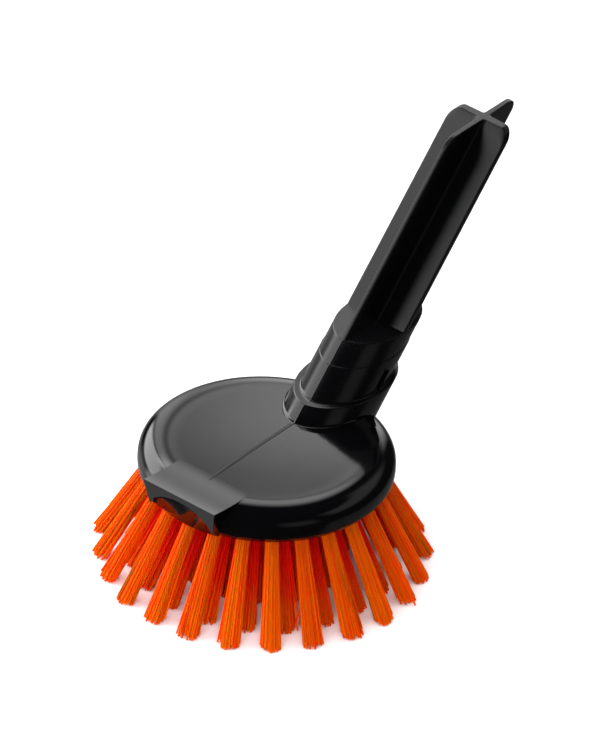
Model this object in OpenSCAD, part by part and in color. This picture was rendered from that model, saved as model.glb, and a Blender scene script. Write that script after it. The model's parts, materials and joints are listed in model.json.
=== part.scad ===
// Plug-in round brush head: one black moulding that joins a round tufted head, a scraper lip
// and a leaning ribbed tang, with three rings of orange filament tufts held by wire anchors.
// Z is the head's own axis, the filament tips stand on Z = 0, the scraper lip faces -Y and the
// tang leans towards +Y.

/* [Head] */
// Widest diameter of the round head.
head_d = 70; // [60:1:90]
// Height of the head's top face above the filament tips.
deck_z = 37.4; // [30:0.2:50]
// Thickness of the head from its top face to its tufted underside.
head_h = 9.9; // [8:0.1:14]
// How far in from the widest edge the soft top shoulder begins.
shoulder_w = 9.5; // [5:0.1:12]
// Depth of the soft top shoulder below the top face.
shoulder_h = 6.1; // [4:0.1:7]
// How much smaller in radius the underside is than the widest edge.
underside_in = 1.5; // [0.5:0.1:3]

/* [Scraper lip] */
// Width of the lip along its front edge.
lip_w = 24.9; // [16:0.1:32]
// How far the front edge stands out beyond the head's widest edge.
lip_out = 2.5; // [1:0.1:6]
// Height of the lip's edge above the head's top face.
lip_rise = 0.8; // [0.2:0.1:2]
// Height of the lip's front face.
lip_h = 7.7; // [4:0.1:9]
// Height of the solid band over the arched hollow in the front face.
lip_band = 2.1; // [1:0.1:3]
// Radius of the hollow's arch.
arch_r = 12.4; // [8:0.1:18]
// Slope of the hollow's face in under the lip, in degrees from upright.
arch_slope = 20.5; // [14:0.5:30]

/* [Tang] */
// Lean of the tang above the head's plane, in degrees.
tang_lean = 47; // [35:1:75]
// Distance from the widest edge in to where the tang's axis meets the top face.
tang_in = 5.7; // [3:0.1:12]
// Half width of the collar that stops the tube.
collar_r = 11.8; // [10:0.1:15]
// Height of the collar's flat shoulder above the top face.
collar_z = 4.1; // [2:0.1:8]
// Half width of the plug below its step.
plug_r = 10.4; // [8:0.1:12]
// Height of the step on the plug above the top face.
step_z = 12.1; // [8:0.1:16]
// How much the plug narrows at its step.
step_in = 0.2; // [0.1:0.05:0.6]
// Height of the plug's flat end, where the bare ribs begin, above the top face.
plug_z = 17.6; // [14:0.1:24]
// Height of the rib ends above the top face.
tip_z = 62.6; // [40:0.2:90]
// Thickness of each rib at its edge.
rib_t = 1.7; // [1.2:0.1:3]
// Radius of the fillets where the ribs meet.
rib_fillet = 1.2; // [0.5:0.1:2.5]
// How far the side ribs' corners are cut back at the end, measured across the tang.
tip_cut_r = 3.3; // [1:0.1:5]
// Length of that corner cut, measured along the tang.
tip_cut_l = 5.5; // [2:0.1:10]
// The same two cuts on the front rib, across and along.
front_cut = [2.4, 3.5];
// The same two cuts on the back rib.
back_cut = [3.8, 6.5];
// Width of the two locating slots in the plug's sides.
slot_w = 2.2; // [1:0.1:4]
// Length of the locating slots along the tang.
slot_l = 6.6; // [3:0.1:9]
// Depth of the locating slots.
slot_d = 1; // [0.5:0.1:1.6]

/* [Tufts] */
// Tufts in the outer, middle and inner ring.
tuft_count = [24, 20, 14];
// Turn of each ring of tufts about the head's axis, in degrees, from the lip's direction.
ring_turn = [-2, 14, 9];
// Diameter of the tuft holes.
hole_d = 4.2; // [3:0.1:5]
// Depth of the tuft holes along their own axes.
hole_l = 6.5; // [4:0.1:8]
// Distance from the underside's edge in to the outer ring of holes.
hole_edge = 4; // [3:0.1:6]
// Distance between one ring of holes and the next.
ring_gap = 7; // [5.5:0.1:9]
// How far each ring's tips stand out beyond its holes.
tip_out = [14.8, 13.5, 7];
// Diameter of a tuft across its cut tips.
tuft_tip_d = 5.5; // [4.3:0.1:7]
// How far each flat wire anchor bites into both sides of its hole.
anchor_bite = 0.3; // [0.1:0.05:0.6]
// Height of the anchors along the hole.
anchor_h = 1.8; // [1:0.1:2.5]
// Thickness of the anchors.
anchor_t = 0.4; // [0.25:0.05:0.7]

/* [Hidden] */
head_r = head_d / 2;
under_r = head_r - underside_in;
under_z = deck_z - head_h;
lip_y = -(head_r + lip_out);
tang_y = head_r - tang_in;
hole_r = hole_d / 2;
anchor_w = hole_d + 2 * anchor_bite;
fit = 0.05;            // clearance between a tuft and its hole
crest_collar = 1.3;    // how far each half's arc centre lies past the parting plane
crest_plug = 0.8;
foot_w = 0.9;          // small foot round the collar where it meets the head
foot_z = 0.7;
reach = 150;           // longer than anything that is cut
floor_gap = 0.7;       // wall of wire-free hole above an anchor
ring_names = ["outer", "middle", "inner"];

function two(n) = n < 10 ? str("0", n) : str(n);
function tuft_name(ring, i) = str("tuft_", ring_names[ring], "_", two(i + 1));
function ring_r(ring) = under_r - hole_edge - ring * ring_gap;
function splay(ring) = atan(tip_out[ring] / under_z);
function tuft_l(ring) = under_z / cos(splay(ring));
function turn_of(ring, i) = ring_turn[ring] + i * 360 / tuft_count[ring];

$fn = 96;
black = [0.03, 0.03, 0.035];
orange = [0.95, 0.33, 0.02];
steel = [0.7, 0.7, 0.72];

// A slab of space between two heights, used to cut the tang level with the head.
module level(low, high) {
  translate([-reach, -reach, low]) cube([2 * reach, 2 * reach, high - low]);
}

// Local frame of the tang: its Z runs up the tang, its X across, its Y to the upper back.
module on_tang() {
  translate([0, tang_y, deck_z]) rotate([-(90 - tang_lean), 0, 0]) children();
}

// Two mould halves meet in a blunt crest on the front and back of every round section.
module crested(r, crest) {
  intersection() {
    translate([-crest, 0, -reach]) cylinder(r = r + crest, h = 2 * reach);
    translate([crest, 0, -reach]) cylinder(r = r + crest, h = 2 * reach);
  }
}

module crested_part(r, crest, low, high) {
  intersection() {
    on_tang() crested(r, crest);
    level(low, high);
  }
}

module head() {
  steps = 12;
  fullness = 0.77;       // below 1 fills the shoulder out beyond a plain ellipse
  shoulder = [for (i = [0 : steps]) let (a = 90 * i / steps, x = pow(sin(a), fullness),
    z = pow(cos(a), fullness)) [head_r - shoulder_w * (1 - x), deck_z - shoulder_h * (1 - z)]];
  rotate_extrude($fn = 180)
    polygon(concat([[0, under_z], [0, deck_z]], shoulder, [[under_r, under_z]]));
}

// The lip: flat on top, leaning in towards its foot, with an arched hollow under the edge.
module lip() {
  top = deck_z + lip_rise;
  low = top - lip_h;
  lean_in = 1.5;
  foot_in = 1.3;
  root_y = -head_r * 0.7;
  difference() {
    intersection() {
      rotate([90, 0, 90]) translate([0, 0, -reach]) linear_extrude(2 * reach)
        polygon([[lip_y, top], [lip_y + lean_in, low], [root_y, low],
                 [root_y, deck_z - 0.2], [lip_y + 9, deck_z - 0.01]]);
      rotate([90, 0, 0]) translate([0, 0, -reach]) linear_extrude(2 * reach)
        polygon([[-lip_w / 2, top], [lip_w / 2, top],
                 [lip_w / 2 - foot_in, low], [foot_in - lip_w / 2, low]]);
    }
    translate([0, lip_y + lean_in * lip_band / lip_h, top - lip_band])
      rotate([90 + arch_slope, 0, 0]) translate([0, -arch_r, 0]) cylinder(r = arch_r, h = 10);
  }
}

// Cross section of the four ribs with filleted inner corners.
module rib_cross(half_x, half_y) {
  t = rib_t / 2;
  f = rib_fillet;
  arc = [for (i = [0 : 4]) let (a = 180 + 90 * i / 4) [t + f + f * cos(a), t + f + f * sin(a)]];
  quarter = concat([[half_x, t]], [for (i = [4 : -1 : 0]) arc[i]], [[t, half_y]]);
  polygon(concat(
    quarter,
    [for (i = [6 : -1 : 0]) [-quarter[i][0], quarter[i][1]]],
    [for (p = quarter) [-p[0], -p[1]]],
    [for (i = [6 : -1 : 0]) [quarter[i][0], -quarter[i][1]]]
  ));
}

// Outline of a rib pair seen flat on: square at the foot, rounded corners at the end.
module rib_outline(half, end) {
  n = 5;
  corner = [for (i = [0 : n]) let (a = 90 * i / n)
    [half - tip_cut_r * (1 - cos(a)), end - tip_cut_l * (1 - sin(a))]];
  polygon(concat(
    [[half, 0]], corner,
    [for (i = [n : -1 : 0]) [-corner[i][0], corner[i][1]]],
    [[-half, 0]]
  ));
}

module ribs() {
  r = plug_r - step_in;
  half_y = sqrt(pow(r + crest_plug, 2) - pow(crest_plug, 2));
  end = tip_z / sin(tang_lean);
  tall = end + half_y / tan(tang_lean) + 1;
  back_y = half_y - back_cut[0];
  front_y = half_y - front_cut[0];
  intersection() {
    on_tang() linear_extrude(tall) rib_cross(r, half_y);
    on_tang() rotate([90, 0, 0]) translate([0, 0, -reach]) linear_extrude(2 * reach)
      union() {
        rib_outline(r, end);
        translate([-rib_t, 0]) square([2 * rib_t, tall]);
      }
    on_tang() rotate([90, 0, 90]) translate([0, 0, -reach]) linear_extrude(2 * reach)
      polygon([[-half_y, 0], [half_y, 0], [half_y, end + half_y / tan(tang_lean) - back_cut[1]],
               [back_y, end + back_y / tan(tang_lean)], [back_y, tall], [-front_y, tall],
               [-front_y, end - front_y / tan(tang_lean)],
               [-half_y, end - half_y / tan(tang_lean) - front_cut[1]]]);
    level(deck_z + plug_z - 3, deck_z + tip_z);
  }
}

module locating_slot(side) {
  start = collar_z / sin(tang_lean);
  on_tang() translate([side * (plug_r - slot_d / 2), 0, start - 1 + (slot_l + 1) / 2])
    cube([slot_d + 0.01, slot_w, slot_l + 1], center = true);
}

// Local frame of one hole: its Z runs down and out along the tuft, Z = 0 at the underside.
module on_hole(ring, i) {
  rotate([0, 0, turn_of(ring, i)]) translate([0, -ring_r(ring), under_z])
    rotate([180 - splay(ring), 0, 0]) children();
}

module anchor(ring, i, grow = 0) {
  on_hole(ring, i) translate([0, 0, -hole_l + floor_gap + anchor_h / 2])
    cube([anchor_w + grow, anchor_t + grow, anchor_h + grow], center = true);
}

module tuft_hole(ring, i) {
  on_hole(ring, i) translate([0, 0, -hole_l]) cylinder(r = hole_r, h = hole_l + 4);
  anchor(ring, i);
}

module tang() {
  difference() {
    union() {
      crested_part(collar_r, crest_collar, under_z, deck_z + collar_z);
      crested_part(collar_r + foot_w, crest_collar, deck_z - 4, deck_z + foot_z);
      crested_part(plug_r, crest_plug, deck_z, deck_z + step_z);
      crested_part(plug_r - step_in, crest_plug, deck_z, deck_z + plug_z);
      ribs();
    }
    difference() {
      union() {
        locating_slot(1);
        locating_slot(-1);
      }
      level(0, deck_z + collar_z);
    }
  }
}

module body() {
  color(black) difference() {
    union() {
      head();
      lip();
      tang();
    }
    for (ring = [0 : 2]) for (i = [0 : tuft_count[ring] - 1]) tuft_hole(ring, i);
  }
}

// A tuft fills its hole, flares towards the tips and is trimmed level at Z = 0.
module tuft(ring, i) {
  wide = tuft_l(ring) + 6;
  r0 = hole_r - fit;
  r1 = r0 + (tuft_tip_d / 2 - r0) * wide / tuft_l(ring);
  color(orange) difference() {
    intersection() {
      on_hole(ring, i) union() {
        translate([0, 0, -hole_l]) cylinder(r = r0, h = hole_l + 0.01);
        cylinder(r1 = r0, r2 = r1, h = wide);
      }
      level(0, deck_z);
    }
    anchor(ring, i);
  }
}

module anchors() {
  color(steel) for (ring = [0 : 2]) for (i = [0 : tuft_count[ring] - 1]) anchor(ring, i);
}

body();
for (ring = [0 : 2]) for (i = [0 : tuft_count[ring] - 1])
  tuft(ring, i);
anchors();
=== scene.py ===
import bmesh
import bpy
import json
import numpy as np
from mathutils import Matrix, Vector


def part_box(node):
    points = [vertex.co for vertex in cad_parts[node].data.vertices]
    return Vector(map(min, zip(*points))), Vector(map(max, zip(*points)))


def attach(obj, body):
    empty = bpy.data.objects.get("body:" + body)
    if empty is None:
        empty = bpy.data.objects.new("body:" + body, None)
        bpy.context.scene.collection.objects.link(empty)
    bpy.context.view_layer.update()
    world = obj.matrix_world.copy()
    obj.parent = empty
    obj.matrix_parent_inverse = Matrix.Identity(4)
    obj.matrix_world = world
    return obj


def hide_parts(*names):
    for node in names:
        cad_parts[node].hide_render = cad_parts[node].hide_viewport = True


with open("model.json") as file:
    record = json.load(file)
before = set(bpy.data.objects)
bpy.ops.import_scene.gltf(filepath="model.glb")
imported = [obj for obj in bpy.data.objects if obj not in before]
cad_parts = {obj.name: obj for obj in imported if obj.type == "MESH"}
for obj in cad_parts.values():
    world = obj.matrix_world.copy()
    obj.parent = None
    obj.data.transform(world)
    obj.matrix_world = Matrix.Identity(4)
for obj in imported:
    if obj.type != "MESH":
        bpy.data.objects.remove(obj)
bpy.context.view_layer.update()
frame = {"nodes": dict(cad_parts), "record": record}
mm = 0.001


def hexColour(code):  # an sRGB hex colour as linear light
    rgb = np.array([int(code[i:i + 2], 16) for i in (1, 3, 5)]) / 255
    linear = np.where(rgb <= 0.04045, rgb / 12.92, ((rgb + 0.055) / 1.055) ** 2.4)
    return (*linear.tolist(), 1.0)


def addNode(tree, kind, inputs=None, **settings):  # one node, its settings, and what feeds it
    node = tree.nodes.new(kind)
    for name, value in settings.items():
        setattr(node, name, value)
    for name, value in (inputs or {}).items():
        if isinstance(value, bpy.types.NodeSocket):
            tree.links.new(value, node.inputs[name])
        else:
            node.inputs[name].default_value = value
    return node


def newMaterial(name):
    material = bpy.data.materials.new(name)
    material.use_nodes = True
    material.node_tree.nodes.clear()
    return material, material.node_tree


# Faces of a grid of points: rows along the first parameter, columns right round the second.
def gridFaces(rows, columns):
    index = np.arange(rows * columns).reshape(rows, columns)
    right = np.roll(index, -1, axis=1)
    return np.stack([index[:-1], right[:-1], right[1:], index[1:]], axis=-1).reshape(-1, 4)


# Closes both ends of a tube of rows: one more row at each end, drawn together at the row's middle.
def cappedEnds(grid):
    ends = [np.broadcast_to(row.mean(axis=0), row.shape)[None] for row in (grid[0], grid[-1])]
    return np.concatenate([ends[0], grid, ends[1]])


# Makes a mesh of a grid given in millimetres, with edges past the sharp angle left hard.
def surfacePiece(name, grid, material, sharp=35, bevel=None):
    mesh = bpy.data.meshes.new(name)
    mesh.from_pydata(grid.reshape(-1, 3) * mm, [], gridFaces(*grid.shape[:2]).tolist())
    weldAndTurn(mesh)
    mesh.materials.append(material)
    mesh.shade_smooth()
    mesh.set_sharp_from_angle(angle=np.radians(sharp))
    piece = bpy.data.objects.new(name, mesh)
    bpy.context.scene.collection.objects.link(piece)
    if bevel:
        edge = piece.modifiers.new("softEdge", "BEVEL")
        edge.width, edge.segments, edge.limit_method = bevel * mm, 3, "ANGLE"
        edge.angle_limit = np.radians(40)
    return piece


# Merges the doubled points of poles and seams, drops faces with no area, turns the rest outwards.
def weldAndTurn(mesh):
    bm = bmesh.new()
    bm.from_mesh(mesh)
    bmesh.ops.remove_doubles(bm, verts=bm.verts, dist=0.002 * mm)
    bmesh.ops.dissolve_degenerate(bm, edges=bm.edges, dist=0.001 * mm)
    bmesh.ops.recalc_face_normals(bm, faces=bm.faces)
    bm.to_mesh(mesh)
    bm.free()


bodyLow, bodyHigh = (np.array(corner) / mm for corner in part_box("body"))
plugMount = next(m for m in frame["record"]["mounts"] if m["name"] == "handle_plug")
lean = np.arctan2(plugMount["axis"][2], plugMount["axis"][1])
underZ = bodyLow[2]
tipZ = bodyHigh[2]
headRadius = 35.0
collarTop = 4.1  # the plug's mount is on the collar, this far above the head
deckZ = plugMount["pos_m"][2] / mm - collarTop
tangY = plugMount["pos_m"][1] / mm - collarTop / np.tan(lean)


# Glossy black polypropylene, injection moulded in two halves: a deep even black, a wet polish on
# the head with very faint waviness from the polished tool, a duller skin on the plug and the ribs.
plasticLook = dict(dark="#020203", light="#040405", ior=1.5,
                   headGloss=0.07, plugGloss=0.2, ribGloss=0.3,  # roughness of each part
                   waveSize=9.0, waveDepth=0.012, grainSize=0.35, grainDepth=0.003)


def makePlastic():
    material, tree = newMaterial("blackMouldedPolypropylene")
    place = addNode(tree, "ShaderNodeTexCoord").outputs["Object"]
    height = addNode(tree, "ShaderNodeSeparateXYZ", {"Vector": place}).outputs["Z"]
    grain = addNode(tree, "ShaderNodeTexNoise", {
        "Vector": place, "Scale": 1 / (plasticLook["grainSize"] * mm), "Detail": 3.0})
    wave = addNode(tree, "ShaderNodeTexNoise", {
        "Vector": place, "Scale": 1 / (plasticLook["waveSize"] * mm), "Detail": 1.0})
    plug = addNode(tree, "ShaderNodeMapRange", {
        "Value": height, "From Min": (deckZ + 0.5) * mm, "From Max": (deckZ + 3) * mm,
        "To Min": plasticLook["headGloss"], "To Max": plasticLook["plugGloss"]},
        interpolation_type="SMOOTHSTEP")
    outward = addNode(tree, "ShaderNodeMapRange", {
        "Value": height, "From Min": (deckZ + 14) * mm, "From Max": (deckZ + 20) * mm,
        "To Min": plug.outputs["Result"], "To Max": plasticLook["ribGloss"]},
        interpolation_type="SMOOTHSTEP")
    patch = addNode(tree, "ShaderNodeMapRange", {
        "Value": grain.outputs["Fac"], "From Min": 0.3, "From Max": 0.7,
        "To Min": -0.015, "To Max": 0.025})
    rough = addNode(tree, "ShaderNodeMath", {0: outward.outputs["Result"], 1: patch.outputs["Result"]},
                    operation="ADD")
    slow = addNode(tree, "ShaderNodeBump", {
        "Height": wave.outputs["Fac"], "Strength": 1.0, "Distance": plasticLook["waveDepth"] * mm})
    fine = addNode(tree, "ShaderNodeBump", {
        "Height": grain.outputs["Fac"], "Strength": 1.0, "Distance": plasticLook["grainDepth"] * mm,
        "Normal": slow.outputs["Normal"]})
    tint = addNode(tree, "ShaderNodeValToRGB", {"Fac": grain.outputs["Fac"]})
    tint.color_ramp.elements[0].color = hexColour(plasticLook["dark"])
    tint.color_ramp.elements[1].color = hexColour(plasticLook["light"])
    shader = addNode(tree, "ShaderNodeBsdfPrincipled", {
        "Base Color": tint.outputs["Color"], "Roughness": rough.outputs["Value"],
        "IOR": plasticLook["ior"], "Normal": fine.outputs["Normal"]})
    addNode(tree, "ShaderNodeOutputMaterial", {"Surface": shader.outputs["BSDF"]})
    return material


# Dyed nylon monofilament, extruded and drawn: clear-bodied orange that lets light through, so it glows
# where lit. The third, red colour is painted shade, mixed in towards the roots and most in the inner
# rings, where the strands lie in each other's shade.
filamentLook = dict(light="#f65800", deep="#f04002", paintedShade="#f20d06", ior=1.53, rough=0.5, sheen=0.06,
                    glow=0.9, depth=3.0, turns=40.0, markDepth=0.003)  # depths in mm


def makeFilament():
    material, tree = newMaterial("orangeNylonMonofilament")
    tone = addNode(tree, "ShaderNodeAttribute", attribute_name="strandTone").outputs["Fac"]
    along = addNode(tree, "ShaderNodeAttribute", attribute_name="strandAlong").outputs["Fac"]
    paintedShade = addNode(tree, "ShaderNodeAttribute", attribute_name="strandPaintedShade").outputs["Fac"]
    strand = addNode(tree, "ShaderNodeMath", {0: tone, 1: filamentLook["turns"]},
                     operation="MULTIPLY").outputs[0]
    streak = addNode(tree, "ShaderNodeTexNoise", {
        "Vector": addNode(tree, "ShaderNodeCombineXYZ", {"X": strand, "Y": along}).outputs["Vector"],
        "Scale": 3.0, "Detail": 2.0}).outputs["Fac"]
    mixed = addNode(tree, "ShaderNodeMath", {0: streak, 1: 0.3, 2: tone},
                    operation="MULTIPLY_ADD").outputs[0]
    tint = addNode(tree, "ShaderNodeValToRGB", {"Fac": mixed})
    tint.color_ramp.elements[0].position, tint.color_ramp.elements[1].position = 0.2, 1.0
    tint.color_ramp.elements[0].color = hexColour(filamentLook["deep"])
    tint.color_ramp.elements[1].color = hexColour(filamentLook["light"])
    # Painted shade: the red colour is mixed in by the per-point shade attribute read above, most near
    # the roots.
    colour = addNode(tree, "ShaderNodeMix", {  # factor, first and second colour
        0: paintedShade, 6: tint.outputs["Color"], 7: hexColour(filamentLook["paintedShade"])}, data_type="RGBA")
    rough = addNode(tree, "ShaderNodeMapRange", {
        "Value": along, "From Min": 0.9, "From Max": 1.0,
        "To Min": filamentLook["rough"], "To Max": 0.65}).outputs["Result"]
    bump = addNode(tree, "ShaderNodeBump", {
        "Height": streak, "Strength": 0.2, "Distance": filamentLook["markDepth"] * mm}).outputs["Normal"]
    shader = addNode(tree, "ShaderNodeBsdfPrincipled", {
        "Base Color": colour.outputs[2], "Roughness": rough, "Normal": bump,
        "IOR": filamentLook["ior"], "Specular IOR Level": filamentLook["sheen"],
        "Subsurface Weight": filamentLook["glow"], "Subsurface Scale": filamentLook["depth"] * mm,
        "Subsurface Radius": (1.0, 0.12, 0.01)})
    addNode(tree, "ShaderNodeOutputMaterial", {"Surface": shader.outputs["BSDF"]})
    return material


# Clipped flat steel wire, drawn: bright grey with fine marks. Only its CAD node shows it.
steelLook = dict(colour="#b8b8bc", smooth=0.25, dull=0.45, markSize=0.25, markDepth=0.01)


def makeAnchorSteel():
    material, tree = newMaterial("drawnSteelWire")
    place = addNode(tree, "ShaderNodeTexCoord").outputs["Object"]
    marks = addNode(tree, "ShaderNodeTexNoise", {
        "Vector": place, "Scale": 1 / (steelLook["markSize"] * mm), "Detail": 2.0})
    rough = addNode(tree, "ShaderNodeMapRange", {
        "Value": marks.outputs["Fac"], "To Min": steelLook["smooth"], "To Max": steelLook["dull"]})
    bump = addNode(tree, "ShaderNodeBump", {
        "Height": marks.outputs["Fac"], "Distance": steelLook["markDepth"] * mm})
    shader = addNode(tree, "ShaderNodeBsdfPrincipled", {
        "Base Color": hexColour(steelLook["colour"]), "Metallic": 1.0,
        "Roughness": rough.outputs["Result"], "Normal": bump.outputs["Normal"]})
    addNode(tree, "ShaderNodeOutputMaterial", {"Surface": shader.outputs["BSDF"]})
    return material


blackPlastic, orangeFilament, anchorSteel = makePlastic(), makeFilament(), makeAnchorSteel()
anchorMesh = frame["nodes"]["anchors"].data
anchorMesh.materials.clear()
anchorMesh.materials.append(anchorSteel)
print("materials made")


headShape = dict(shoulderStart=25.5, shoulderDrop=6.1, fullness=2.6, crown=0.35,
                 underRadius=33.5, bottomSoft=0.5, columns=360,
                 throatHalf=10.5, throatBack=2.6)  # where the side steps back behind the lip


# Head: a profile turned round Z. Top with a slight crown, a superellipse shoulder from the
# top to the widest edge, a side that draws in to the underside, a small round, a flat base.
# Behind the throat of the lip the side steps back, so that only the throat shows there.
def headGrid():
    s = headShape
    r = np.linspace(0, s["shoulderStart"], 14)
    top = np.c_[r, -s["crown"] * (r / s["shoulderStart"]) ** 2]
    t = np.linspace(0, np.pi / 2, 34)[1:]
    out, power = headRadius - s["shoulderStart"], 2 / s["fullness"]
    shoulder = np.c_[s["shoulderStart"] + out * np.sin(t) ** power,
                     -s["crown"] - (s["shoulderDrop"] - s["crown"]) * (1 - np.cos(t) ** power)]
    depth = deckZ - underZ
    k = np.linspace(0, 1, 9)[1:]
    side = np.c_[headRadius - (headRadius - s["underRadius"]) * k ** 3.5,
                 -s["shoulderDrop"] - (depth - s["bottomSoft"] - s["shoulderDrop"]) * k]
    a = np.linspace(0, np.pi / 2, 6)[1:]
    soft = np.c_[s["underRadius"] - s["bottomSoft"] * (1 - np.cos(a)),
                 -depth + s["bottomSoft"] * (1 - np.sin(a))]
    base = np.c_[np.linspace(s["underRadius"] - s["bottomSoft"], 0, 8)[1:], np.full(7, -depth)]
    profile = np.concatenate([top, shoulder, side, soft, base])
    turn = np.linspace(0, 2 * np.pi, s["columns"], endpoint=False)
    radius, z = profile[:, :1], profile[:, 1:]
    x, y = radius * np.cos(turn), radius * np.sin(turn)
    throat = np.clip((s["throatHalf"] - np.abs(x)) / 0.5, 0, 1) * np.clip((-2.5 - z) / 1.5, 0, 1)
    y = y + s["throatBack"] * throat * (y < -30)
    return np.stack([x, y, deckZ + z + 0 * turn], axis=-1)


lipShape = dict(width=24.9, frontY=37.5, rise=0.84, height=7.7, footY=36.0, footWidth=22.4, start=17.0,
                leave=22.0, band=2.0, archHalf=10.8, throatRadius=34.1, throatZ=-9.85)


# Lip: a closed section in the YZ plane carried across X. Its top starts a hair under the head's
# crown, leaves it and curls up to the edge. The front leans in down to an arch, a circular arc from
# foot to foot; under the arch a throat slopes back to the rim of the underside.
def lipGrid():
    s = lipShape
    across = np.unique(np.concatenate([np.linspace(-1, 1, 61), *[
        c * np.linspace(0.86, 0.96, 9) for c in (-1, 1)]]).round(4))
    foot = s["rise"] - s["height"]
    nominal = across * s["footWidth"] / 2
    sagitta = s["height"] - s["band"]
    radius = (s["archHalf"] ** 2 + sagitta ** 2) / (2 * sagitta)
    arch = s["rise"] - s["band"] - radius + np.sqrt(np.maximum(radius ** 2 - nominal ** 2, 0))
    arch = np.maximum(arch, foot)
    inThroat = np.clip((s["archHalf"] - np.abs(nominal)) / 0.6, 0, 1)
    low = foot + (s["throatZ"] - foot) * inThroat
    lowY = -np.sqrt(s["throatRadius"] ** 2 - nominal ** 2)

    topY = -np.linspace(s["start"], s["frontY"], 26)[:, None] + 0 * across
    out = np.clip((-s["leave"] - topY) / (s["frontY"] - s["leave"]), 0, 1)
    crown = headShape["crown"] / headShape["shoulderStart"] ** 2
    topZ = -crown * topY ** 2 + (s["rise"] + crown * s["frontY"] ** 2) * out ** 2
    topZ -= 0.03 * np.clip((s["leave"] + topY) / 3, 0, 1)
    topZ -= crown * (across * s["width"] / 2) ** 2 * (1 - out)

    f = np.linspace(0, 1, 16)[1:, None]
    frontZ = s["rise"] - (s["rise"] - arch) * f
    frontY = -s["frontY"] + (s["frontY"] - s["footY"]) * (s["rise"] - frontZ) / s["height"]
    u = np.linspace(0, 1, 18)[1:, None]
    throatZ = frontZ[-1:] + (low - frontZ[-1:]) * u
    throatY = frontY[-1:] + (lowY - frontY[-1:]) * u
    backY, backZ = np.full((2, len(across)), -s["start"]), np.stack([low, low / 2])

    y = np.concatenate([topY, frontY, throatY, backY])
    z = np.concatenate([topZ, frontZ, throatZ, backZ])
    lower = np.clip((s["rise"] - z) / s["height"], 0, 1)
    half = s["width"] / 2 + (s["footWidth"] - s["width"]) / 2 * lower
    return cappedEnds(np.stack([across * half, y, deckZ + z], axis=-1).transpose(1, 0, 2))


plugShape = dict(collar=11.83, collarCrest=1.3, collarZ=collarTop, plug=10.4, plugCrest=0.8, stepZ=12.1,
                 stepIn=0.2, endZ=17.6, fillet=0.45, soft=0.22, flash=0.09,
                 slotWidth=2.2, slotLength=6.6, slotDepth=1.0)


# Distance from the axis to a section made of two arcs that meet in a crest front and back.
def crestedRadius(turn, half, crest):
    return np.sqrt((half + crest) ** 2 - (crest * np.sin(turn)) ** 2) - crest * np.abs(np.cos(turn))


# Collar and plug: level sections carried up the leaning axis. A height and a half width make
# each row, and a foot's flare where a row has three numbers. A point is the axis at that height,
# plus the section stretched by the lean.
def plugGrid():
    s = plugShape
    slotTurn = np.degrees(np.arcsin(s["slotWidth"] / 2 / s["plug"]))
    turn = np.unique(np.concatenate([
        np.arange(0, 360, 1.5), [89.3, 90.7, 269.3, 270.7],
        *[[c - slotTurn - 0.3, c - slotTurn, c + slotTurn, c + slotTurn + 0.3]
          for c in (0, 180, 360)]]) % 360)
    turn = np.radians(turn)
    depth = deckZ - underZ
    f, e = s["fillet"], s["soft"]
    a = np.linspace(0, np.pi / 2, 8)
    rows = [[0.0, -depth], [s["collar"] - 0.6, -depth], [s["collar"], -depth + 0.5], [s["collar"], -f]]
    rows += [[s["collar"], f, -0.1], [s["collar"], f, 0.0]]
    rows += [[s["collar"], f * (1 - np.sin(t)), f * (1 - np.cos(t))] for t in a[1:]]
    rows += [[s["collar"], s["collarZ"] - e]]
    rows += [[s["collar"] - e * (1 - np.cos(t)), s["collarZ"] - e * (1 - np.sin(t))] for t in a[1:]]
    rows += [[s["plug"] + e * (1 - np.sin(t)), s["collarZ"] + e * (1 - np.cos(t))] for t in a]
    rows += [[s["plug"], z] for z in np.arange(s["collarZ"] + e + 0.4, s["stepZ"] - 0.15, 0.2)]
    rows += [[s["plug"], s["stepZ"] - 0.12], [s["plug"] - 0.04, s["stepZ"] - 0.03],
             [s["plug"] - s["stepIn"], s["stepZ"]]]
    upper = s["plug"] - s["stepIn"]
    rows += [[upper, z] for z in np.linspace(s["stepZ"] + 0.1, s["endZ"] - e, 8)]
    rows += [[upper - e * (1 - np.cos(t)), s["endZ"] - e * (1 - np.sin(t))] for t in a[1:]]
    rows += [[upper * 0.5, s["endZ"]], [0.0, s["endZ"]]]
    rows = [row if len(row) == 3 else [row[0], 0, row[1]] for row in rows]
    half, flare, z = np.array(rows).T[:, :, None]
    footReach = np.hypot(half * np.cos(turn), tangY + half * np.sin(turn) / np.sin(lean))
    half = half + flare * np.clip((27 - footReach) / 2, 0, 1)
    blend = np.clip((z - s["collarZ"]) / e, 0, 1)
    crest = (s["collarCrest"] * (1 - blend) + s["plugCrest"] * blend) * np.minimum(half / 8, 1)
    radius = crestedRadius(turn, half, crest)
    radius = np.where(half == 0, 0, radius + s["flash"] * (np.abs(np.cos(turn)) < 0.002) * (half > 5))
    across, deep = radius * np.cos(turn), radius * np.sin(turn)
    climb = z / np.sin(lean) + deep / np.tan(lean)
    slotEnd = s["collarZ"] / np.sin(lean) + s["slotLength"]
    cut = np.clip((slotEnd - climb) / 0.15, 0, 1) * (z > s["collarZ"] + 0.02) * (z < s["stepZ"])
    cut = cut * (np.abs(deep) <= s["slotWidth"] / 2 + 0.02)
    across = across - np.sign(across) * s["slotDepth"] * cut
    y = tangY + z / np.tan(lean) + deep / np.sin(lean)
    return np.stack([across, y, deckZ + z + 0 * across], axis=-1)


ribShape = dict(rootThick=1.9, edgeThick=1.5, fillet=0.5, soft=0.3,
                sideCut=(3.3, 5.5), frontCut=(2.4, 3.5), backCut=(3.8, 6.5))  # across, along


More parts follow.
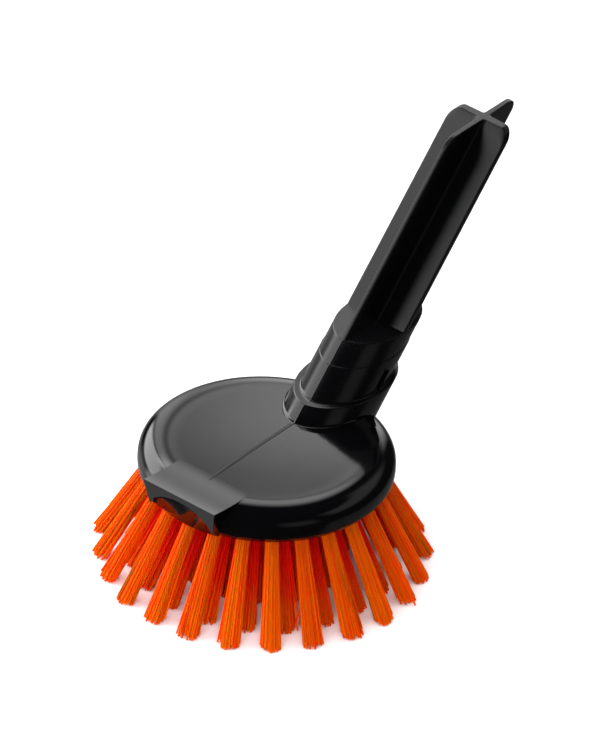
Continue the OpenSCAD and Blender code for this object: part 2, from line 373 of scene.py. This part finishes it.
# Ribs: one closed cross-shaped outline carried up the leaning axis. Each point climbs to the
# level end cut, less a quarter ellipse at the outer corners, then the cap closes on the ribs' midlines.
def ribGrid():
    s = ribShape
    sideHalf = plugShape["plug"] - plugShape["stepIn"] - 0.05
    frontHalf = crestedRadius(np.pi / 2, sideHalf, plugShape["plugCrest"])
    inner = s["rootThick"] / 2 + s["fillet"]

    def armSide(half):  # points along one flank of a rib, from its edge in to the fillet
        d = np.concatenate([np.linspace(half - s["soft"], half - 3.9, 12),
                            np.linspace(half - 4.6, inner, 6)])
        thick = (s["edgeThick"] + (s["rootThick"] - s["edgeThick"]) * (half - d) / half) / 2
        return d, thick

    a = np.linspace(0, np.pi / 2, 5)
    d, thick = armSide(sideHalf)
    edge = s["edgeThick"] / 2
    inward, sideways = s["soft"] * (1 - np.cos(a)), s["soft"] * (1 - np.sin(a))
    corner = np.c_[sideHalf - inward, edge - sideways][:-1]
    flank = np.c_[d, thick]
    t = np.linspace(0, np.pi / 2, 7)[1:-1]
    filletArc = s["rootThick"] / 2 + s["fillet"] * np.c_[1 - np.sin(t), 1 - np.cos(t)]
    d2, thick2 = armSide(frontHalf)
    flank2 = np.c_[thick2, d2][::-1]
    corner2 = np.c_[edge - sideways, frontHalf - inward][:-1][::-1]
    quarter = np.concatenate([corner, flank, filletArc, flank2, corner2])
    outline = np.concatenate([quarter, quarter[::-1] * [-1, 1],
                              quarter * [-1, -1], quarter[::-1] * [1, -1]])
    keep = np.r_[True, np.abs(np.diff(outline, axis=0)).sum(axis=1) > 1e-6]
    outline = outline[keep]
    x, n = outline.T
    sideArm = np.abs(x) > np.abs(n)
    spineX = np.where(sideArm & (np.abs(x) > inner - 0.01),
                      np.sign(x) * np.minimum(np.abs(x), sideHalf - s["soft"]), 0)
    spineN = np.where(~sideArm & (np.abs(n) > inner - 0.01),
                      np.sign(n) * np.minimum(np.abs(n), frontHalf - s["soft"]), 0)

    def endClimb(x, n):
        flat = ((tipZ - deckZ) + n * np.cos(lean)) / np.sin(lean)

        def drop(distance, half, cut):
            out = np.clip((distance - half + cut[0]) / cut[0], 0, 1)
            return cut[1] * (1 - np.sqrt(1 - out ** 2))

        return (flat - drop(np.abs(x), sideHalf, s["sideCut"]) - drop(-n, frontHalf, s["frontCut"])
                - drop(n, frontHalf, s["backCut"]))

    rows = []
    foot = ((plugShape["endZ"] - 1.5) + n * np.cos(lean)) / np.sin(lean)
    for share in np.linspace(0, 1, 24):
        rows.append((x, n, foot + (endClimb(x, n) - 0.2 - foot) * share))
    for inset, down in ((0.03, 0.07), (0.12, 0.0), (0.5, 0.0), (1.0, 0.0)):
        px, pn = x + (spineX - x) * inset, n + (spineN - n) * inset
        rows.append((px, pn, endClimb(px, pn) - down))
    px, pn, climb = (np.array(v) for v in zip(*rows))
    px, pn, climb = np.vstack([spineX, px]), np.vstack([spineN, pn]), np.vstack([foot, climb])
    y = tangY + climb * np.cos(lean) + pn * np.sin(lean)
    z = deckZ + climb * np.sin(lean) - pn * np.cos(lean)
    return np.stack([px, y, z], axis=-1)


# Parting line on the head: where the two mould halves met, one stands a hair higher. The section
# climbs gently from the left and drops in a short step on the right, and fades out at both ends.
flashShape = dict(slope=1.1, step=0.24, height=0.1, sunk=0.02, front=29.5, back=13.5)


def flashGrid():
    s, h = flashShape, headShape
    k = np.linspace(0, 1, 60)
    y = s["back"] - (s["back"] + s["front"]) * k
    top = h["crown"] * (np.minimum(np.abs(y), h["shoulderStart"]) / h["shoulderStart"]) ** 2
    over = np.clip((np.abs(y) - h["shoulderStart"]) / (headRadius - h["shoulderStart"]), 0, 1)
    fall = 1 - (1 - over ** h["fullness"]) ** (1 / h["fullness"])
    top = top + (h["shoulderDrop"] - h["crown"]) * fall
    section = np.array([[-s["slope"], -s["sunk"]], [-0.5 * s["slope"], 0.45 * s["height"]],
                        [-0.05, s["height"]], [0.02, 0.9 * s["height"]],
                        [s["step"], -s["sunk"]], [0, -0.15]])
    fade = np.sqrt(np.clip(np.minimum(k / 0.02, (1 - k) / 0.35), 0, 1))[:, None]
    x = section[:, 0] * np.maximum(fade, 0.02)
    z = deckZ - top[:, None] + np.where(section[:, 1] > 0, section[:, 1] * fade, section[:, 1])
    return cappedEnds(np.stack([x, y[:, None] + 0 * x, z], axis=-1))


bodyPieces = [
    surfacePiece("mouldedHead", headGrid(), blackPlastic),
    surfacePiece("scraperLip", lipGrid(), blackPlastic, sharp=30, bevel=0.22),
    surfacePiece("collarAndPlug", plugGrid(), blackPlastic),
    surfacePiece("crossRibs", ribGrid(), blackPlastic),
    surfacePiece("flashLine", flashGrid(), blackPlastic),
]
for piece in bodyPieces:
    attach(piece, "root")
    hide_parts("body")
print("moulded body made")


tuftShape = dict(rings={"outer": (24, -2, 29.5, 14.8),  # tufts, first turn, hole radius, tips out
                        "middle": (20, 14, 22.5, 13.5),
                        "inner": (14, 9, 15.5, 7.0)},
                 outerPaintedShade=0.22, innerPaintedShade=1.0,  # strength of the painted shade that reddens each ring's roots
                 strands=68, strandRadius=0.262, sides=8, steps=5,
                 rootRadius=1.65, tipWide=2.85, tipDeep=1.95, scatter=0.035, bow=0.02,
                 drift=0.2, lowestTip=0.2, unevenTips=1.6,
                 strays=0.08, strayReach=0.7)


goldenAngle = 2.39996


# Points packed in a circle: the nth is n golden angles round, at the square root of its share out.
def packedDisc(count):
    n = np.arange(count)
    turn = n * goldenAngle
    return np.sqrt((n + 0.5) / count)[:, None] * np.stack([np.cos(turn), np.sin(turn)], axis=1)


# A tuft: each strand leaves its place in the hole, spreads towards its place at the tips with
# a slight bow, and ends at its own cut height. A strand is a ring of sides carried along its path.
# depth: how strongly painted shade reddens the strands near the roots.
def makeTuft(name, turn, holeRadius, tipOut, depth, random):
    s = tuftShape
    count = s["strands"]
    spread = np.arctan2(tipOut, underZ)
    seat = packedDisc(count)
    spin = random.uniform(0, 2 * np.pi)
    seat = seat @ np.array([[np.cos(spin), -np.sin(spin)], [np.sin(spin), np.cos(spin)]])
    root = seat * s["rootRadius"]
    tip = seat * [s["tipWide"], s["tipDeep"]] + random.normal(0, s["scatter"], (count, 2))
    stray = random.random((count, 1)) < s["strays"]
    tip += np.where(stray, random.normal(0, s["strayReach"], (count, 2)), 0)
    bow = random.normal(0, s["bow"], (count, 2))
    drift = random.normal(0, s["drift"], 2)
    cut = s["lowestTip"] + s["unevenTips"] * random.random(count) ** 2.2
    k = np.linspace(-0.06, 1, s["steps"] + 1)
    z = underZ + (cut[:, None] - underZ) * k
    along = np.clip(k, 0, 1)[None, :, None]
    offset = (root[:, None] + (tip + drift - root)[:, None] * along ** 1.15
              + bow[:, None] * np.sin(np.pi * along) * 0.5)
    radial = holeRadius + tipOut * (underZ - z) / underZ + offset[..., 1] / np.cos(spread)
    side = offset[..., 0]
    out = np.array([np.sin(np.radians(turn)), -np.cos(np.radians(turn))])
    tangent = np.array([-out[1], out[0]])
    path = np.concatenate([radial[..., None] * out + side[..., None] * tangent, z[..., None]], axis=-1)
    way = np.gradient(path, axis=1)
    way /= np.linalg.norm(way, axis=-1, keepdims=True)
    acrossWay = np.cross(way, [0, 0, 1.0] + 0 * way)
    acrossWay /= np.linalg.norm(acrossWay, axis=-1, keepdims=True)
    otherWay = np.cross(way, acrossWay)
    a = np.linspace(0, 2 * np.pi, s["sides"], endpoint=False)[:, None]
    ring = s["strandRadius"] * (np.cos(a) * acrossWay[:, :, None] + np.sin(a) * otherWay[:, :, None])
    points = path[:, :, None] + ring
    rows, sides = s["steps"] + 1, s["sides"]
    wall = gridFaces(rows, sides)
    starts = np.arange(count) * rows * sides
    quads = (wall[None] + starts[:, None, None]).reshape(-1, 4).tolist()
    endRing = np.arange(sides)
    caps = (starts[:, None] + (rows - 1) * sides + endRing).tolist()
    caps += (starts[:, None] + endRing[::-1]).tolist()
    mesh = bpy.data.meshes.new(name)
    mesh.from_pydata(points.reshape(-1, 3) * mm, [], quads + caps)
    tone = np.repeat(random.random(count), rows * sides)
    fade = np.tile(np.repeat(np.clip(k, 0, 1), sides), count)
    # Painted shade: redder towards the roots, scaled by the ring's depth, for the shade deep inside the
    # tuft.
    shade = np.clip((1 - fade) / 0.55, 0, 1)
    paintedShade = depth * (0.15 + 0.85 * shade * shade * (3 - 2 * shade))
    for label, values in (("strandTone", tone), ("strandAlong", fade), ("strandPaintedShade", paintedShade)):
        mesh.attributes.new(label, "FLOAT", "POINT").data.foreach_set("value", values.astype(np.float32))
    mesh.materials.append(orangeFilament)
    mesh.shade_smooth()
    mesh.set_sharp_from_angle(angle=np.radians(65))
    piece = bpy.data.objects.new(name, mesh)
    bpy.context.scene.collection.objects.link(piece)
    return piece


for ringNumber, (ringName, ring) in enumerate(tuftShape["rings"].items()):
    count, turnStart, holeRadius, tipOut = ring
    # How strongly painted shade reddens this ring's roots.
    depth = tuftShape["outerPaintedShade" if ringName == "outer" else "innerPaintedShade"]
    for i in range(count):
        random = np.random.default_rng(1000 * ringNumber + i + 7)
        tuft = makeTuft(f"filaments_{ringName}_{i + 1:02d}", turnStart + i * 360 / count,
                        holeRadius, tipOut, depth, random)
        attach(tuft, "root")
        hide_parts(f"tuft_{ringName}_{i + 1:02d}")
print("tufts made")


# Matt white emulsion on a studio sweep: an even white with a mottle that is barely seen.
floorLook = dict(half=3.0, dark="#f2f2f2", light="#f6f6f6", rough=0.9, mottle=3.0)  # half in metres


def makeFloorPaint():
    material, tree = newMaterial("matteWhiteSweep")
    place = addNode(tree, "ShaderNodeTexCoord").outputs["Object"]
    mottle = addNode(tree, "ShaderNodeTexNoise", {
        "Vector": place, "Scale": floorLook["mottle"], "Detail": 1.0})
    tint = addNode(tree, "ShaderNodeValToRGB", {"Fac": mottle.outputs["Fac"]})
    tint.color_ramp.elements[0].color = hexColour(floorLook["dark"])
    tint.color_ramp.elements[1].color = hexColour(floorLook["light"])
    shader = addNode(tree, "ShaderNodeBsdfPrincipled", {
        "Base Color": tint.outputs["Color"], "Roughness": floorLook["rough"],
        "Specular IOR Level": 0.2})
    addNode(tree, "ShaderNodeOutputMaterial", {"Surface": shader.outputs["BSDF"]})
    return material


def flatSheet(name, half):
    mesh = bpy.data.meshes.new(name)
    corners = half * np.array([[-1, -1, 0], [1, -1, 0], [1, 1, 0], [-1, 1, 0]])
    mesh.from_pydata(corners, [], [[0, 1, 2, 3]])
    mesh.materials.append(makeFloorPaint())
    sheet = bpy.data.objects.new(name, mesh)
    bpy.context.scene.collection.objects.link(sheet)
    return sheet


floor = flatSheet("floor", floorLook["half"])
floor.visible_glossy = False  # the plastic mirrors the feathered light instead

# Softboxes round the object: brightness, then compass angle from +X and height above the horizon
# in degrees, each as where it starts, is full, is still full, and has gone.
softboxes = dict(
    key=dict(radiance=4.6, around=(147, 152, 188, 198), above=(8, 17, 39, 47)),
    lowPanel=dict(radiance=2.25, around=(108, 120, 127, 134), above=(23, 33, 34, 41)),
    lipPanel=dict(radiance=2.2, around=(100, 112, 127, 137), above=(-5, 14, 20, 32)),
    sidePanel=dict(radiance=1.9, around=(129, 140, 145, 149), above=(-15, 25, 46, 54)),
    topPanel=dict(radiance=2.6, around=(112, 124, 150, 160), above=(37, 42, 45, 60)),
    leftFront=dict(radiance=2.4, around=(184, 197, 232, 243), above=(-30, -10, 40, 50)),
    leftLow=dict(radiance=0.4, around=(160, 175, 185, 200), above=(-30, -10, 4, 14)),
    rightBack=dict(radiance=0.4, around=(2, 25, 85, 103), above=(22, 38, 50, 57)),
    rightRim=dict(radiance=0.2, around=(318, 330, 348, 358), above=(-5, 10, 28, 40)),
    farFloor=dict(radiance=0.45, around=(95, 125, 185, 200), above=(-75, -35, -12, -3)),
    leftFloor=dict(radiance=0.5, around=(185, 200, 238, 255), above=(-56, -53, -32, -22)),
    rightFloor=dict(radiance=0.12, around=(1, 8, 95, 110), above=(-60, -40, -20, -12)),
)
ambient = 0.02


def makeWorld():
    world = bpy.data.worlds.new("studio")
    world.use_nodes = True
    tree = world.node_tree
    tree.nodes.clear()

    def calculate(operation, *values):
        return addNode(tree, "ShaderNodeMath", dict(enumerate(values)), operation=operation).outputs[0]

    def ramp(value, start, full):
        return addNode(tree, "ShaderNodeMapRange", {
            "Value": value, "From Min": np.radians(start), "From Max": np.radians(full)},
            interpolation_type="SMOOTHSTEP").outputs["Result"]

    direction = addNode(tree, "ShaderNodeTexCoord").outputs["Generated"]
    xyz = addNode(tree, "ShaderNodeSeparateXYZ", {"Vector": direction}).outputs
    flipped = [calculate("MULTIPLY", xyz[axis], -1.0) for axis in ("Y", "X")]
    around = calculate("ARCTAN2", *flipped)
    around = calculate("ADD", around, float(np.pi))
    above = calculate("ARCSINE", xyz["Z"])
    total = ambient
    for box in softboxes.values():
        a, h = box["around"], box["above"]
        sides = calculate("MULTIPLY", ramp(around, a[0], a[1]), ramp(around, a[3], a[2]))
        ends = calculate("MULTIPLY", ramp(above, h[0], h[1]), ramp(above, h[3], h[2]))
        total = calculate("MULTIPLY_ADD", calculate("MULTIPLY", sides, ends), box["radiance"], total)
    sky = addNode(tree, "ShaderNodeBackground", {"Color": hexColour("#ffffff"), "Strength": total})
    addNode(tree, "ShaderNodeOutputWorld", {"Surface": sky.outputs["Background"]})
    bpy.context.scene.world = world


makeWorld()

# Large soft lamps that light the bristles and the floor and leave no glint.
fillLamps = dict(
    frontFill=dict(way=(0.35, -0.75, 0.55), size=0.9, power=9.0),
    leftFill=dict(way=(-0.75, -0.45, 0.45), size=0.7, power=5.0),
    topFill=dict(way=(-0.05, 0.15, 1.0), size=0.8, power=7.0),
)


def placeObject(item, rotation, location):
    item.matrix_world = Matrix([[*rotation[i], location[i]] for i in range(3)] + [[0, 0, 0, 1]])


cameraSet = dict(azimuth=37.91, elevation=34.99, roll=3.01, distance=5.398, lens=960.0,
                 across=10.36, above=17.76)  # aim point from the head's top, in mm
az, el, roll = (np.radians(cameraSet[k]) for k in ("azimuth", "elevation", "roll"))
back = np.array([np.sin(az) * np.cos(el), -np.cos(az) * np.cos(el), np.sin(el)])
right = np.array([np.cos(az), np.sin(az), 0])
up = np.cross(back, right)
cameraRight = right * np.cos(roll) + up * np.sin(roll)
cameraUp = -right * np.sin(roll) + up * np.cos(roll)
cameraData = bpy.data.cameras.new("camera")
cameraData.lens, cameraData.sensor_width = cameraSet["lens"], 36
cameraData.clip_start, cameraData.clip_end = 0.1, 50
camera = bpy.data.objects.new("camera", cameraData)
bpy.context.scene.collection.objects.link(camera)
shift = cameraSet["across"] * cameraRight + cameraSet["above"] * cameraUp
aim = np.array([0, 0, deckZ * mm]) + shift * mm
placeObject(camera, np.stack([cameraRight, cameraUp, back], axis=1), aim + back * cameraSet["distance"])
bpy.context.scene.camera = camera
bpy.context.scene.view_settings.view_transform = "Standard"


def turnTowards(way):  # rotation whose Z looks along the given direction
    z = np.array(way) / np.linalg.norm(way)
    x = np.cross([0, 1, 0] if abs(z[2]) > 0.9 else [0, 0, 1], z)
    x = x / np.linalg.norm(x)
    return np.stack([x, np.cross(z, x), z], axis=1)


for name, lamp in fillLamps.items():
    light = bpy.data.lights.new(name, "AREA")
    light.size, light.energy = lamp["size"], lamp["power"]
    fill = bpy.data.objects.new(name, light)
    bpy.context.scene.collection.objects.link(fill)
    turn = turnTowards(lamp["way"])
    placeObject(fill, turn, turn[:, 2] * 0.9)
    fill.visible_glossy = False
print("stage set")
